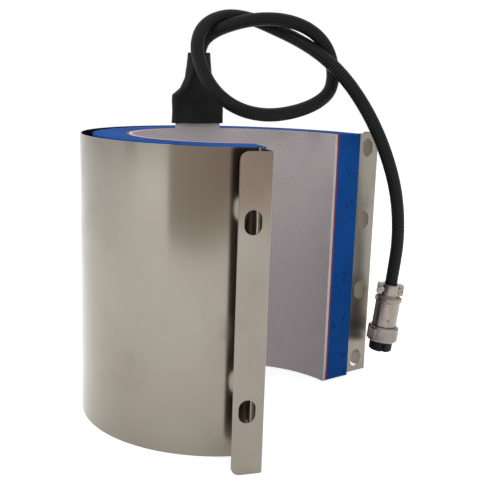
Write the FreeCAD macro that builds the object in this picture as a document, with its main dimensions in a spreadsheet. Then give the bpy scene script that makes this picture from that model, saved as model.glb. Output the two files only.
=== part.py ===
"""Open band heater for a mug press, in millimetres.

A thin rolled stainless band stands on its lower edge. Each of its ends is folded outwards into a
radial wall and back again into a flap, and is drilled for the press's clamp. Inside the band lie
a silicone sponge pad, a red silicone backing, a heating foil and a grey silicone heater mat. The
mat's tab enters a heat-shrink sleeve, and a stiff braided cable ends in a four-pole plug whose
coupling ring turns.

Frame: Z is the axis of the band's near arc, and the band stands on the plane z = 0.
"""
import FreeCAD, Part
import math
import os

import Sketcher
from FreeCAD import Placement, Rotation, Vector

SIZES = {
    # Rolled band: two tangent arcs, tighter on the near side, with folded ends.
    "BandHeight": 140.0,
    "SheetThickness": 0.5,
    "NearRadius": 68.5,
    "FarRadius": 80.0,
    "BlendAngle": 160.0,
    "NearEndAngle": -75.0,
    "FarEndAngle": 35.0,
    "WallDepth": 17.5,
    "FlapWidth": 14.0,
    "BendRadius": 1.2,
    "FlapCorner": 4.0,
    # Clamp slots in the walls and flaps.
    "SlotWidth": 7.6,
    "SlotHeight": 10.4,
    "WallSlotEnd": 8.0,
    "FlapSlotEnd": 29.0,
    "FlapSlotInset": 6.2,
    "WallSlotCount": 4,
    "FlapSlotCount": 2,
    # Lining: layers on the same two arcs, with room to the band on the left.
    "PadGap": 3.6,
    "PadShift": 2.2,
    "PadContactGap": 0.1,
    "PadNearEnd": -73.5,
    "PadFarEnd": 34.5,
    "FoamThickness": 16.0,
    "BackingThickness": 1.0,
    "FoilThickness": 0.2,
    "MatThickness": 1.5,
    "BondGap": 0.05,
    "FoilMargin": 6.0,
    "FoilSlotWidth": 2.5,
    # Mat tab and the heat-shrink sleeve over it.
    "TabAngle": 117.0,
    "TabWidth": 27.0,
    "TabHeight": 14.0,
    "TabSag": 0.8,
    "SleeveRise": 2.6,
    "SleeveHeight": 38.4,
    "SleeveWidth": 31.0,
    "SleeveDepth": 7.0,
    "SleeveNeck": 11.6,
    "SleeveGrip": 0.2,
    "SleeveWall": 0.9,
    # Temperature sensor in a pocket of the foam.
    "SensorWidth": 5.0,
    "SensorDepth": 2.0,
    "SensorLength": 12.0,
    "SensorHeight": 70.0,
    "PocketClearance": 0.3,
    # Cable and leads.
    "CableDiameter": 7.2,
    "LeadDiameter": 1.5,
    "LeadLength": 20.0,
    "LeadSpacing": 2.1,
    "SpliceDiameter": 2.0,
    "SpliceLength": 9.0,
    # Plug, measured down its own axis from the cable entry.
    "PlugTilt": 5.8,
    "PlugClearance": 0.1,
    "NeckDiameter": 11.0,
    "NeckLength": 6.2,
    "ClampLength": 6.0,
    "EarSpan": 14.6,
    "EarDiameter": 5.0,
    "ClampScrewDiameter": 2.0,
    "ClampScrewSpacing": 11.2,
    "ShoulderDiameter": 15.4,
    "ShellDiameter": 14.0,
    "ShellLength": 30.0,
    "ShellWall": 1.3,
    "PlugLead": 11.5,
    "CableInsertion": 12.0,
    "RingStart": 24.8,
    "RingDiameter": 17.6,
    "RingLength": 8.8,
    "RingBore": 15.0,
    "RingLip": 2.4,
    "KnurlCount": 48,
    "KnurlDepth": 0.18,
    "CirclipThickness": 0.8,
    "CirclipDiameter": 14.7,
    "CirclipGroove": 13.0,
    "InsertDiameter": 13.2,
    "InsertLength": 9.4,
    "SpigotLength": 12.0,
    "KeyWidth": 2.2,
    "KeyDepth": 1.6,
    "ContactDiameter": 2.4,
    "ContactCircle": 6.4,
    "ContactLength": 18.0,
    "ContactRecess": 1.0,
    "PinBore": 1.5,
    "LockScrewDiameter": 2.0,
    "LockScrewDrop": 20.0,
    "LockScrewLength": 2.0,
    "ScrewHeadHeight": 1.0,
    "ScrewClearance": 0.05,
}

# Points of the cable from the sleeve's mouth to the plug, chosen by hand.
CABLE_ROUTE = [
    (-14.4, 47.7, 175.0), (-14.4, 47.7, 184.0), (-8.6, 47.2, 191.5), (3.9, 45.8, 196.8),
    (17.9, 44.8, 199.9), (32.9, 45.3, 199.7), (46.4, 46.8, 195.2), (55.9, 48.3, 186.5),
    (59.9, 48.3, 174.5), (58.9, 44.3, 163.0), (50.9, 36.8, 156.0), (37.4, 28.3, 151.0),
    (21.9, 21.8, 149.0), (6.9, 19.8, 152.0), (-5.3, 22.8, 160.5), (-12.6, 28.3, 172.5),
    (-15.9, 34.3, 185.0), (-11.9, 42.8, 196.0), (-0.1, 52.3, 201.8), (13.9, 56.3, 200.6),
    (27.9, 54.8, 195.0), (40.9, 49.3, 189.0), (53.4, 42.8, 181.0), (64.9, 37.3, 170.0),
    (74.9, 34.8, 156.8), (83.4, 34.1, 142.5), (90.4, 35.0, 127.5), (95.9, 36.5, 112.0),
    (99.2, 38.4, 96.0), (100.5, 40.3, 80.0),
]
PLUG_ENTRY = Vector(98.7, 42.3, 54.7)

doc = FreeCAD.newDocument("BandHeater")
sheet = doc.addObject("Spreadsheet::Sheet", "Sizes")
for row, (alias, number) in enumerate(SIZES.items(), start=1):
    sheet.set(f"A{row}", alias)
    sheet.set(f"B{row}", str(number))
    sheet.setAlias(f"B{row}", alias)
doc.recompute()

nodes = []


def size(alias):
    """The sheet's present value of one size."""
    return float(getattr(sheet, alias))


def cells(text):
    """An expression in which every size's name is read from the sheet."""
    for alias in sorted(SIZES, key=len, reverse=True):
        text = text.replace(f"@{alias}", f"Sizes.{alias}")
    return text


def number(text):
    """The number that an expression of sizes has now."""
    found = sheet.evalExpression(cells(text))
    return float(getattr(found, "Value", found))


def bind(item, path, text):
    """Tie one property of an object to an expression of sizes."""
    item.setExpression(path, cells(text))


def keep(item, label):
    """Name a finished sub-part and list it for writing."""
    item.Label = label
    nodes.append(item)
    return item


def new_body(name):
    """An empty PartDesign body."""
    return doc.addObject("PartDesign::Body", name)


def origin_plane(body, role):
    """One of the body's own origin planes, found by its role."""
    return next(item for item in body.Origin.OriginFeatures if item.Role == role)


class Profile:
    """A sketch with sizes tied to the sheet."""

    def __init__(self, owner, name, role="XY_Plane"):
        if owner is None:
            self.sketch = doc.addObject("Sketcher::SketchObject", name)
        else:
            self.sketch = owner.newObject("Sketcher::SketchObject", name)
            self.sketch.AttachmentSupport = [(origin_plane(owner, role), "")]
            self.sketch.MapMode = "FlatFace"

    def shift(self, axis, text):
        """Move the sketch's plane along one of its own axes."""
        bind(self.sketch, f"AttachmentOffset.Base.{axis}", text)

    def turn(self, axis, text):
        """Turn the sketch's plane about one of its own axes."""
        self.sketch.AttachmentOffset = Placement(Vector(), Rotation(axis, 1.0))
        bind(self.sketch, "AttachmentOffset.Rotation.Angle", text)

    def line(self, start, end):
        """A straight edge between two points given as expressions."""
        ends = [Vector(number(x), number(y), 0) for x, y in (start, end)]
        return self.sketch.addGeometry(Part.LineSegment(*ends), False)

    def arc(self, centre, radius, start, end):
        """A counter-clockwise arc; angles in degrees."""
        circle = Part.Circle(Vector(number(centre[0]), number(centre[1]), 0), Vector(0, 0, 1), number(radius))
        first, last = math.radians(number(start)), math.radians(number(end))
        return self.sketch.addGeometry(Part.ArcOfCircle(circle, first, last), False)

    def circle(self, centre, radius):
        """A whole circle whose centre and radius are tied to sizes."""
        middle = Vector(number(centre[0]), number(centre[1]), 0)
        edge = self.sketch.addGeometry(Part.Circle(middle, Vector(0, 0, 1), number(radius)), False)
        self.place(edge, 3, *centre)
        self.radius(edge, radius)
        return edge

    def join(self, first, first_end, second, second_end, kind="Coincident"):
        """Join two ends, smoothly when the kind is Tangent."""
        self.sketch.addConstraint(Sketcher.Constraint(kind, first, first_end, second, second_end))

    def rule(self, *terms):
        """Any other constraint without a size."""
        self.sketch.addConstraint(Sketcher.Constraint(*terms))

    def tie(self, text, *terms):
        """A constraint whose value is an expression of sizes."""
        amount = number(text)
        if terms[0] == "Angle":
            amount = math.radians(amount)
        index = self.sketch.addConstraint(Sketcher.Constraint(*terms, amount))
        unit = " * 1 deg" if terms[0] == "Angle" else ""
        self.sketch.setExpression(f"Constraints[{index}]", f"({cells(text)}){unit}")

    def radius(self, edge, text):
        """Tie the radius of an arc or circle."""
        self.tie(text, "Radius", edge)

    def place(self, edge, end, x, y):
        """Tie a point to its place from the sketch's origin."""
        for direction, text in (("DistanceX", x), ("DistanceY", y)):
            if abs(number(text)) > 1e-7:
                self.tie(text, direction, -1, 1, edge, end)
            else:
                self.rule("PointOnObject", edge, end, -2 if direction == "DistanceX" else -1)

    def polygon(self, corners):
        """A closed outline of straight edges with every corner tied."""
        edges = []
        for index, corner in enumerate(corners):
            edges.append(self.line(corner, corners[(index + 1) % len(corners)]))
        for index, edge in enumerate(edges):
            self.join(edge, 2, edges[(index + 1) % len(edges)], 1)
            self.place(edge, 1, *corners[index])
        return edges

    def slot(self, centre, width, height):
        """An upright slot with round ends."""
        x, y = centre
        half, reach = f"({width}) / 2", f"(({height}) - ({width})) / 2"
        top = self.arc((x, f"({y}) + {reach}"), half, "0", "180")
        low = self.arc((x, f"({y}) - {reach}"), half, "180", "360")
        left = self.line((f"({x}) - {half}", f"({y}) + {reach}"), (f"({x}) - {half}", f"({y}) - {reach}"))
        right = self.line((f"({x}) + {half}", f"({y}) - {reach}"), (f"({x}) + {half}", f"({y}) + {reach}"))
        self.join(top, 2, left, 1, "Tangent")
        self.join(left, 2, low, 1, "Tangent")
        self.join(low, 2, right, 1, "Tangent")
        self.join(right, 2, top, 1, "Tangent")
        self.radius(top, half)
        self.rule("Equal", top, low)
        self.place(top, 3, x, f"({y}) + {reach}")
        self.place(low, 3, x, f"({y}) - {reach}")


    def round_corner(self, corner, side, up, radius, margin):
        """The waste outside a rounded corner; side and up say where the corner points."""
        x, y = corner
        inner_x, outer_x = f"({x} - {side} * {radius})", f"({x} + {side} * {margin})"
        inner_y, outer_y = f"({y} - {up} * {radius})", f"({y} + {up} * {margin})"
        points = [(inner_x, y), (inner_x, outer_y), (outer_x, outer_y), (outer_x, inner_y), (x, inner_y)]
        lines = [self.line(*pair) for pair in zip(points, points[1:])]
        for first, second in zip(lines, lines[1:]):
            self.join(first, 2, second, 1)
        for line, point in zip(lines, points):
            self.place(line, 1, *point)
        self.place(lines[-1], 2, *points[-1])
        start = {(1, -1): 270, (-1, -1): 180, (1, 1): 0, (-1, 1): 90}[side, up]
        arc = self.arc((inner_x, inner_y), radius, str(start), str(start + 90))
        first, last = (1, 2) if side * up < 0 else (2, 1)
        self.join(arc, first, lines[0], 1)
        self.join(arc, last, lines[-1], 2)
        self.radius(arc, radius)


def pad(body, profile, length, midplane=False):
    """Extrude a sketch along its plane's normal."""
    feature = body.newObject("PartDesign::Pad", profile.sketch.Name + "Pad")
    feature.Profile = profile.sketch
    feature.Midplane = midplane
    bind(feature, "Length", length)
    profile.sketch.Visibility = False
    return feature


def pocket(body, profile, length, midplane=True, reverse=False):
    """Cut a sketch out of the body."""
    feature = body.newObject("PartDesign::Pocket", profile.sketch.Name + "Pocket")
    feature.Profile = profile.sketch
    feature.Midplane = midplane
    feature.Reversed = reverse
    bind(feature, "Length", length)
    return feature


def turned(body, profile, cut=False):
    """Revolve a sketch a full turn about its upright axis."""
    kind = "PartDesign::Groove" if cut else "PartDesign::Revolution"
    feature = body.newObject(kind, profile.sketch.Name + "Turn")
    feature.Profile = profile.sketch
    feature.ReferenceAxis = (profile.sketch, ["V_Axis"])
    feature.Angle = 360.0
    return feature


def polar_copies(body, feature, count):
    """Repeat a feature round the body's Z axis."""
    pattern = body.newObject("PartDesign::PolarPattern", feature.Name + "Pattern")
    pattern.Originals = [feature]
    pattern.Axis = (next(item for item in body.Origin.OriginFeatures if item.Role == "Z_Axis"), [""])
    pattern.Angle = 360.0
    bind(pattern, "Occurrences", count)
    body.Tip = pattern
    return pattern


def along_blend(distance):
    """Expressions of a point at a signed distance from the Z axis towards the blend of the arcs."""
    return (f"(({distance}) * cos(@BlendAngle))", f"(({distance}) * sin(@BlendAngle))")


# Centres and radii of the lining's two arcs. The lining is held off the band on the left by
# PadGap + PadShift and touches it again at the far end.
BAND_FAR_SHIFT = "(@NearRadius - @FarRadius + @PadShift)"
PAD_NEAR_RADIUS = "(@NearRadius - @SheetThickness - @PadGap)"
TURN_COSINE = "cos(@BlendAngle - @FarEndAngle)"
PAD_FAR_RADIUS = (f"((@FarRadius - @SheetThickness - @PadContactGap - {TURN_COSINE} * "
                  f"({PAD_NEAR_RADIUS} - @PadShift + @FarRadius - @NearRadius)) / (1 - {TURN_COSINE}))")
PAD_FAR_SHIFT = f"({PAD_NEAR_RADIUS} - {PAD_FAR_RADIUS})"
BACKING_INSET = "(@FoamThickness + @BondGap)"
FOIL_INSET = f"({BACKING_INSET} + @BackingThickness + @BondGap)"
MAT_INSET = f"({FOIL_INSET} + @FoilThickness + @BondGap)"


def lining_layer(profile, inset, thickness):
    """The closed C-shaped section of one layer of the lining."""
    near, far = ("0", "0"), along_blend(PAD_FAR_SHIFT)
    radii = [f"({PAD_NEAR_RADIUS} - ({inset}))", f"({PAD_NEAR_RADIUS} - ({inset}) - ({thickness}))"]
    far_radii = [text.replace(PAD_NEAR_RADIUS, PAD_FAR_RADIUS, 1) for text in radii]
    start, end = "@PadFarEnd", "(@PadNearEnd + 360)"
    arcs = []
    for near_radius, far_radius in zip(radii, far_radii):
        far_arc = profile.arc(far, far_radius, start, "@BlendAngle")
        near_arc = profile.arc(near, near_radius, "@BlendAngle", end)
        profile.join(far_arc, 2, near_arc, 1, "Tangent")
        profile.radius(near_arc, near_radius)
        arcs.append((far_arc, near_arc))
    (far_outer, near_outer), (far_inner, near_inner) = arcs
    profile.rule("Coincident", -1, 1, near_outer, 3)
    profile.place(far_outer, 3, *far)
    profile.join(near_outer, 3, near_inner, 3)
    profile.join(far_outer, 3, far_inner, 3)
    for centre, angle, pair, at in ((near, end, (near_inner, near_outer), 2),
                                    (far, start, (far_inner, far_outer), 1)):
        reach = radii if at == 2 else far_radii
        points = [(f"({centre[0]} + {r} * cos({angle}))", f"({centre[1]} + {r} * sin({angle}))")
                  for r in (reach[1], reach[0])]
        line = profile.line(*points)
        profile.join(line, 1, pair[0], at)
        profile.join(line, 2, pair[1], at)
        profile.rule("PointOnObject", pair[0], 3, line)
        profile.tie(angle if at == 1 else "@PadNearEnd", "Angle", line)



# The band's sheet is drawn along the middle of its thickness.
BAND_NEAR = "(@NearRadius - @SheetThickness / 2)"
BAND_FAR = "(@FarRadius - @SheetThickness / 2)"


def band_strip():
    """The band's section: a line along the middle of the sheet, thickened to both sides."""
    path = Profile(None, "BandPath")
    near, far = along_blend("@PadShift"), along_blend(BAND_FAR_SHIFT)
    near_arc = path.arc(near, BAND_NEAR, "@BlendAngle", "@NearEndAngle + 360")
    far_arc = path.arc(far, BAND_FAR, "@FarEndAngle", "@BlendAngle")
    path.join(far_arc, 2, near_arc, 1, "Tangent")
    path.place(near_arc, 3, *near)
    path.radius(near_arc, BAND_NEAR)
    path.place(far_arc, 3, *far)
    for arc, end, centre, radius, angle, side in (
            (near_arc, 2, near, BAND_NEAR, "@NearEndAngle", "-1"),
            (far_arc, 1, far, BAND_FAR, "@FarEndAngle", "1")):
        points = []
        for reach, back in ((radius, "0"), (f"({radius} + @WallDepth)", "0"),
                            (f"({radius} + @WallDepth)", f"({side} * @FlapWidth)")):
            points.append((f"{centre[0]} + {reach} * cos({angle}) - {back} * sin({angle})",
                           f"{centre[1]} + {reach} * sin({angle}) + {back} * cos({angle})"))
        wall = path.line(points[0], points[1])
        flap = path.line(points[1], points[2])
        path.join(arc, end, wall, 1)
        path.join(wall, 2, flap, 1)
        path.rule("PointOnObject", arc, 3, wall)
        path.tie(angle, "Angle", wall)
        path.tie("@WallDepth", "Distance", wall)
        path.rule("Perpendicular", wall, flap)
        path.tie("@FlapWidth", "Distance", flap)
    strip = doc.addObject("Part::Offset2D", "BandStrip")
    strip.Source = path.sketch
    strip.Join = "Intersection"
    strip.Fill = True
    bind(strip, "Value", "@SheetThickness / 2")
    return strip


def upright_edges(shape, places):
    """Names of the full-height edges that stand at any of the places in plan."""
    names = []
    for index, edge in enumerate(shape.Edges, start=1):
        box = edge.BoundBox
        centre = Vector(box.Center.x, box.Center.y, 0)
        close = any((centre - place).Length < 0.1 * number("@SheetThickness") for place in places)
        if close and box.ZLength > 0.9 * shape.BoundBox.ZLength:
            names.append(f"Edge{index}")
    return names


def band_end(side):
    """Centre, radius and angle of the near (-1) or far (1) end of the sheet, as expressions."""
    if side < 0:
        return along_blend("@PadShift"), BAND_NEAR, "@NearEndAngle"
    return along_blend(BAND_FAR_SHIFT), BAND_FAR, "@FarEndAngle"


def end_point(side, out, back):
    """A point at one end: out from the middle of the sheet and back along it, in numbers."""
    centre, radius, angle = band_end(side)
    ray = math.radians(number(angle))
    reach, turn = number(radius) + out, side * back
    return Vector(number(centre[0]) + reach * math.cos(ray) - turn * math.sin(ray),
                  number(centre[1]) + reach * math.sin(ray) + turn * math.cos(ray), 0)


def slot_column(body, name, side, in_wall):
    """Evenly spaced slots through a wall or a flap, cut from a plane that stands in the sheet."""
    centre, radius, angle = band_end(side)
    kind = "Wall" if in_wall else "Flap"
    profile = Profile(body, name, "XZ_Plane")
    if in_wall:
        middle = f"({radius} + @WallDepth / 2)"
        profile.turn(Vector(0, 1, 0), angle)
        profile.shift("x", centre[0])
        profile.shift("z", f"-1 * {centre[1]}")
    else:
        reach = f"({radius} + @WallDepth)"
        middle = f"({side} * (@FlapWidth - @FlapSlotInset))"
        profile.turn(Vector(0, 1, 0), f"{angle} + 90")
        profile.shift("x", f"{centre[0]} + {reach} * cos({angle})")
        profile.shift("z", f"-1 * ({centre[1]} + {reach} * sin({angle}))")
    count = int(size(f"{kind}SlotCount"))
    for index in range(count):
        share = f"{index} / (@{kind}SlotCount - 1)"
        profile.slot((middle, f"(@{kind}SlotEnd + (@BandHeight - 2 * @{kind}SlotEnd) * {share})"),
                     "@SlotWidth", "@SlotHeight")
    if not in_wall:
        tip = f"({side} * (@FlapWidth + @SheetThickness / 2))"
        profile.round_corner((tip, "0"), side, -1, "@FlapCorner", "@SheetThickness")
        profile.round_corner((tip, "@BandHeight"), side, 1, "@FlapCorner", "@SheetThickness")
    return pocket(body, profile, "@WallDepth / 2")


def round_edges(body, name, edges, radius):
    """Fillet some edges of the body's last feature."""
    fillet = body.newObject("PartDesign::Fillet", name)
    fillet.Base = (body.Group[-2], edges)
    bind(fillet, "Radius", radius)
    doc.recompute()
    return fillet


def steel_band():
    """The rolled band with its folded, slotted ends, one piece of thin sheet."""
    extrusion = doc.addObject("Part::Extrusion", "BandBlank")
    extrusion.Base = band_strip()
    extrusion.DirMode = "Custom"
    extrusion.Dir = Vector(0, 0, 1)
    extrusion.Solid = True
    bind(extrusion, "LengthFwd", "@BandHeight")
    body = new_body("Band")
    body.BaseFeature = extrusion
    doc.recompute()
    half, depth = number("@SheetThickness / 2"), number("@WallDepth")
    inner, outer = [], []
    for side in (-1, 1):
        inner += [end_point(side, half, half), end_point(side, depth - half, half)]
        outer += [end_point(side, -half, -half), end_point(side, depth + half, -half)]
    round_edges(body, "InnerBends", upright_edges(body.Shape, inner), "@BendRadius")
    round_edges(body, "OuterBends", upright_edges(body.Shape, outer), "@BendRadius + @SheetThickness")
    for side, name in ((-1, "Near"), (1, "Far")):
        slot_column(body, name + "WallSlots", side, True)
        slot_column(body, name + "FlapSlots", side, False)
    return keep(body, "steel_band")


def lining_point(angle, inset):
    """Where a ray at an angle about the far arc's centre meets the lining, as expressions."""
    centre = along_blend(PAD_FAR_SHIFT)
    reach = f"({PAD_FAR_RADIUS} - ({inset}))"
    return f"({centre[0]} + {reach} * cos({angle}))", f"({centre[1]} + {reach} * sin({angle}))"


def foam_pad():
    """The silicone sponge, with a pocket in its inner face for the sensor."""
    body = new_body("Foam")
    section = Profile(body, "FoamSection")
    lining_layer(section, "0", "@FoamThickness")
    pad(body, section, "@BandHeight")
    mouth = Profile(body, "SensorPocket", "XZ_Plane")
    mouth.turn(Vector(0, 1, 0), "@TabAngle + 90")
    face = lining_point("@TabAngle", "@FoamThickness")
    mouth.shift("x", face[0])
    mouth.shift("z", f"-1 * {face[1]}")
    reach = "(@SensorWidth / 2 + @PocketClearance)"
    low, high = "(@SensorHeight - @PocketClearance)", "(@SensorHeight + @SensorLength + @PocketClearance)"
    mouth.polygon([(f"-1 * {reach}", low), (reach, low), (reach, high), (f"-1 * {reach}", high)])
    pocket(body, mouth, "2 * (@SensorDepth + @PocketClearance)")
    return keep(body, "foam_pad")


def backing_sheet():
    """The red silicone sheet between the sponge and the heating foil."""
    body = new_body("Backing")
    section = Profile(body, "BackingSection")
    lining_layer(section, BACKING_INSET, "@BackingThickness")
    pad(body, section, "@BandHeight")
    return keep(body, "backing_sheet")


def heating_foil():
    """A foil that winds up and down round the mat: one sheet slit in turn from top and bottom."""
    body = new_body("FoilBlank")
    section = Profile(body, "FoilSection")
    lining_layer(section, FOIL_INSET, "@FoilThickness")
    section.shift("z", "@FoilMargin")
    pad(body, section, "@BandHeight - 2 * @FoilMargin")
    slits = []
    far_steps, near_steps = 12, 9
    for index in range(1, far_steps + near_steps):
        far = index < far_steps
        share = f"({index if far else index - far_steps} / {far_steps if far else near_steps})"
        start, end = ("@PadFarEnd", "@BlendAngle") if far else ("@BlendAngle", "(@PadNearEnd + 360)")
        shift, radius = (PAD_FAR_SHIFT, PAD_FAR_RADIUS) if far else ("0", PAD_NEAR_RADIUS)
        angle = f"({start} + ({end} - {start}) * {share})"
        reach = f"({radius} - {FOIL_INSET} - 2 * @FoilThickness)"
        centre = along_blend(shift)
        slit = doc.addObject("Part::Box", f"FoilSlit{index}")
        bind(slit, "Length", "3 * @FoilThickness")
        bind(slit, "Width", "@FoilSlotWidth")
        bind(slit, "Height", "@BandHeight - 3 * @FoilMargin")
        slit.Placement = Placement(Vector(), Rotation(Vector(0, 0, 1), 1.0))
        bind(slit, "Placement.Rotation.Angle", angle)
        bind(slit, "Placement.Base.x", f"{centre[0]} + {reach} * cos({angle})")
        bind(slit, "Placement.Base.y", f"{centre[1]} + {reach} * sin({angle})")
        lift = "0" if index % 2 else "2 * @FoilMargin"
        bind(slit, "Placement.Base.z", lift)
        slits.append(slit)
    comb = doc.addObject("Part::MultiFuse", "FoilSlits")
    comb.Shapes = slits
    foil = doc.addObject("Part::Cut", "Foil")
    foil.Base = body
    foil.Tool = comb
    return keep(foil, "heating_foil")


def heater_mat():
    """The grey silicone mat, with the tab that carries its leads up into the sleeve."""
    body = new_body("Mat")
    section = Profile(body, "MatSection")
    lining_layer(section, MAT_INSET, "@MatThickness")
    pad(body, section, "@BandHeight")
    tab = Profile(body, "MatTab")
    centre = along_blend(PAD_FAR_SHIFT)
    outer = f"({PAD_FAR_RADIUS} - {MAT_INSET})"
    inner = f"({outer} - @MatThickness)"
    half = f"(@TabWidth / {outer} * 90 / pi)"
    start, end = f"(@TabAngle - {half})", f"(@TabAngle + {half})"
    outside = tab.arc(centre, outer, start, end)
    inside = tab.arc(centre, inner, start, end)
    tab.place(outside, 3, *centre)
    tab.join(outside, 3, inside, 3)
    tab.radius(outside, outer)
    tab.radius(inside, inner)
    for angle, at in ((start, 1), (end, 2)):
        ray = [(f"{centre[0]} + {r} * cos({angle})", f"{centre[1]} + {r} * sin({angle})") for r in (inner, outer)]
        side = tab.line(*ray)
        tab.join(side, 1, inside, at)
        tab.join(side, 2, outside, at)
        tab.rule("PointOnObject", outside, 3, side)
        tab.tie(angle, "Angle", side)
    pad(body, tab, "@BandHeight + @TabHeight")
    return keep(body, "heater_mat")


def place_at_tab(item, height):
    """Stand an object over the tab, its X axis along the mat and its Y axis outwards."""
    spot = lining_point("@TabAngle", f"{MAT_INSET} + @MatThickness / 2 + @TabSag")
    item.Placement = Placement(Vector(), Rotation(Vector(0, 0, 1), 1.0))
    bind(item, "Placement.Rotation.Angle", "@TabAngle - 90")
    bind(item, "Placement.Base.x", spot[0])
    bind(item, "Placement.Base.y", spot[1])
    bind(item, "Placement.Base.z", height)


def temperature_sensor():
    """A small rounded capsule against the backing, in the sponge's pocket."""
    body = new_body("Sensor")
    plan = Profile(body, "SensorPlan")
    half, depth = "(@SensorWidth / 2)", "@SensorDepth"
    plan.polygon([(f"-1 * {half}", "0"), (half, "0"), (half, depth), (f"-1 * {half}", depth)])
    pad(body, plan, "@SensorLength")
    doc.recompute()
    upright = [f"Edge{index}" for index, edge in enumerate(body.Shape.Edges, start=1)
               if edge.BoundBox.ZLength > 0.9 * number("@SensorLength")]
    round_edges(body, "SensorRounds", upright, "@SensorDepth / 4")
    # Sits on the sponge's inner face, so its outer side clears the bottom of the pocket.
    spot = lining_point("@TabAngle", "@FoamThickness + @BondGap / 2")
    body.Placement = Placement(Vector(), Rotation(Vector(0, 0, 1), 1.0))
    bind(body, "Placement.Rotation.Angle", "@TabAngle - 90")
    bind(body, "Placement.Base.x", spot[0])
    bind(body, "Placement.Base.y", spot[1])
    bind(body, "Placement.Base.z", "@SensorHeight")
    return keep(body, "temperature_sensor")


def flat_section(body, name, height, width, depth):
    """A level section with round ends, for lofting the sleeve."""
    section = Profile(body, name)
    section.shift("z", height)
    section.slot(("0", "0"), depth, width)
    section.sketch.AttachmentOffset = Placement(section.sketch.AttachmentOffset.Base,
                                                Rotation(Vector(0, 0, 1), 90))
    bind(section.sketch, "AttachmentOffset.Base.z", height)
    return section.sketch


# The sleeve's levels: height, how far it is still spread flat, how far it has swelled to round.
SLEEVE_STATIONS = [(0.0, 1.0, 0.0), (0.40, 0.97, 0.0), (0.50, 0.50, 0.12), (0.64, 0.20, 0.4),
                   (0.82, 0.07, 0.7), (1.0, 0.0, 1.0)]


def heat_shrink_sleeve():
    """A flat sleeve shrunk over the tab, necking down to the round cable."""
    body = new_body("Sleeve")
    stations = []
    for rise, spread, swell in SLEEVE_STATIONS:
        stations.append((f"@SleeveHeight * {rise}",
                         f"(@SleeveNeck + 0.6 + (@SleeveWidth - @SleeveNeck - 0.6) * {spread})",
                         f"(@SleeveDepth + (@SleeveNeck - @SleeveDepth) * {swell})"))
    snug = ("@SleeveHeight", "(@CableDiameter + 3 * @SleeveGrip)", "(@CableDiameter + 2 * @SleeveGrip)")
    inner = [(height, f"({width} - 2 * @SleeveWall)", f"({depth} - 2 * @SleeveWall)")
             for height, width, depth in stations[:-1]]
    for name, levels, kind in (("SleeveOuter", stations, "PartDesign::AdditiveLoft"),
                               ("SleeveInner", inner + [snug], "PartDesign::SubtractiveLoft")):
        sections = [flat_section(body, f"{name}{index}", *level) for index, level in enumerate(levels)]
        loft = body.newObject(kind, name)
        loft.Ruled = True
        loft.Profile = sections[0]
        loft.Sections = sections[1:]
        doc.recompute()
    place_at_tab(body, "@BandHeight + @SleeveRise")
    return keep(body, "heat_shrink_sleeve")


def rod(name, diameter, length, base, bore=None):
    """A plain cylinder, or a tube when a bore is given; its base is three expressions."""
    outer = doc.addObject("Part::Cylinder", name + "Rod")
    bind(outer, "Radius", f"{diameter} / 2")
    bind(outer, "Height", length)
    parts = [outer]
    if bore:
        inner = doc.addObject("Part::Cylinder", name + "Bore")
        bind(inner, "Radius", f"{bore} / 2")
        bind(inner, "Height", length)
        parts.append(inner)
    for part in parts:
        for axis, text in zip("xyz", base):
            bind(part, f"Placement.Base.{axis}", text)
    if not bore:
        return outer
    tube = doc.addObject("Part::Cut", name)
    tube.Base, tube.Tool = parts
    return tube


def lead_set():
    """Four insulated leads from the tab to the cable, and the two splices on the heater's pair."""
    start = "(@TabHeight - @SleeveRise + @BondGap)"
    places = [f"({index - 1.5} * @LeadSpacing)" for index in range(4)]
    leads = [rod(f"Lead{index}", "@LeadDiameter", "@LeadLength", (x, "0", start)) for index, x in enumerate(places)]
    splices = [rod(f"Splice{index}", "@SpliceDiameter", "@SpliceLength", (places[index], "0", f"{start} + 2"),
                   bore="(@LeadDiameter + 0.02)") for index in (0, 3)]
    for label, members in (("lead_wires", leads), ("crimp_splices", splices)):
        group = doc.addObject("Part::Compound", "".join(word.title() for word in label.split("_")))
        group.Links = members
        place_at_tab(group, "@BandHeight + @SleeveRise")
        keep(group, label)


def cable():
    """The braided cable: straight runs joined by the widest tangent arcs they allow."""
    tilt = math.radians(number("@PlugTilt"))
    axis = Vector(-math.sin(tilt), 0, -math.cos(tilt))
    points = [Vector(*point) for point in CABLE_ROUTE]
    points += [PLUG_ENTRY - axis * number("@PlugLead"), PLUG_ENTRY + axis * number("@CableInsertion")]
    edges, radii, at = [], [], points[0]
    for before, corner, after in zip(points, points[1:], points[2:]):
        coming, going = (corner - before), (after - corner)
        turn = coming.getAngle(going)
        reach = 0.45 * min(coming.Length, going.Length)
        radii.append(reach / math.tan(turn / 2))
        coming.normalize()
        going.normalize()
        first, last = corner - coming * reach, corner + going * reach
        bisector = (going - coming).normalize()
        middle = corner + bisector * (radii[-1] / math.cos(turn / 2) - radii[-1])
        edges.append(Part.LineSegment(at, first).toShape())
        edges.append(Part.Arc(first, middle, last).toShape())
        at = last
    edges.append(Part.LineSegment(at, points[-1]).toShape())
    route = Part.Wire(edges)
    start = (points[1] - points[0]).normalize()
    ring = Part.Wire([Part.Circle(points[0], start, number("@CableDiameter") / 2).toShape()])
    tube = doc.addObject("Part::Feature", "Cable")
    tube.Shape = Part.Face(ring)
    tube.Shape = route.makePipeShell([ring], True, False)
    section = math.pi * number("@CableDiameter") ** 2 / 4
    print(f"cable: length {route.Length:.0f}, smallest radius {min(radii):.1f}, "
          f"volume share {tube.Shape.Volume / (section * route.Length):.4f}")
    print("cable radii:", " ".join(f"{radius:.0f}" for radius in radii))
    return keep(tube, "cable")


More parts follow.
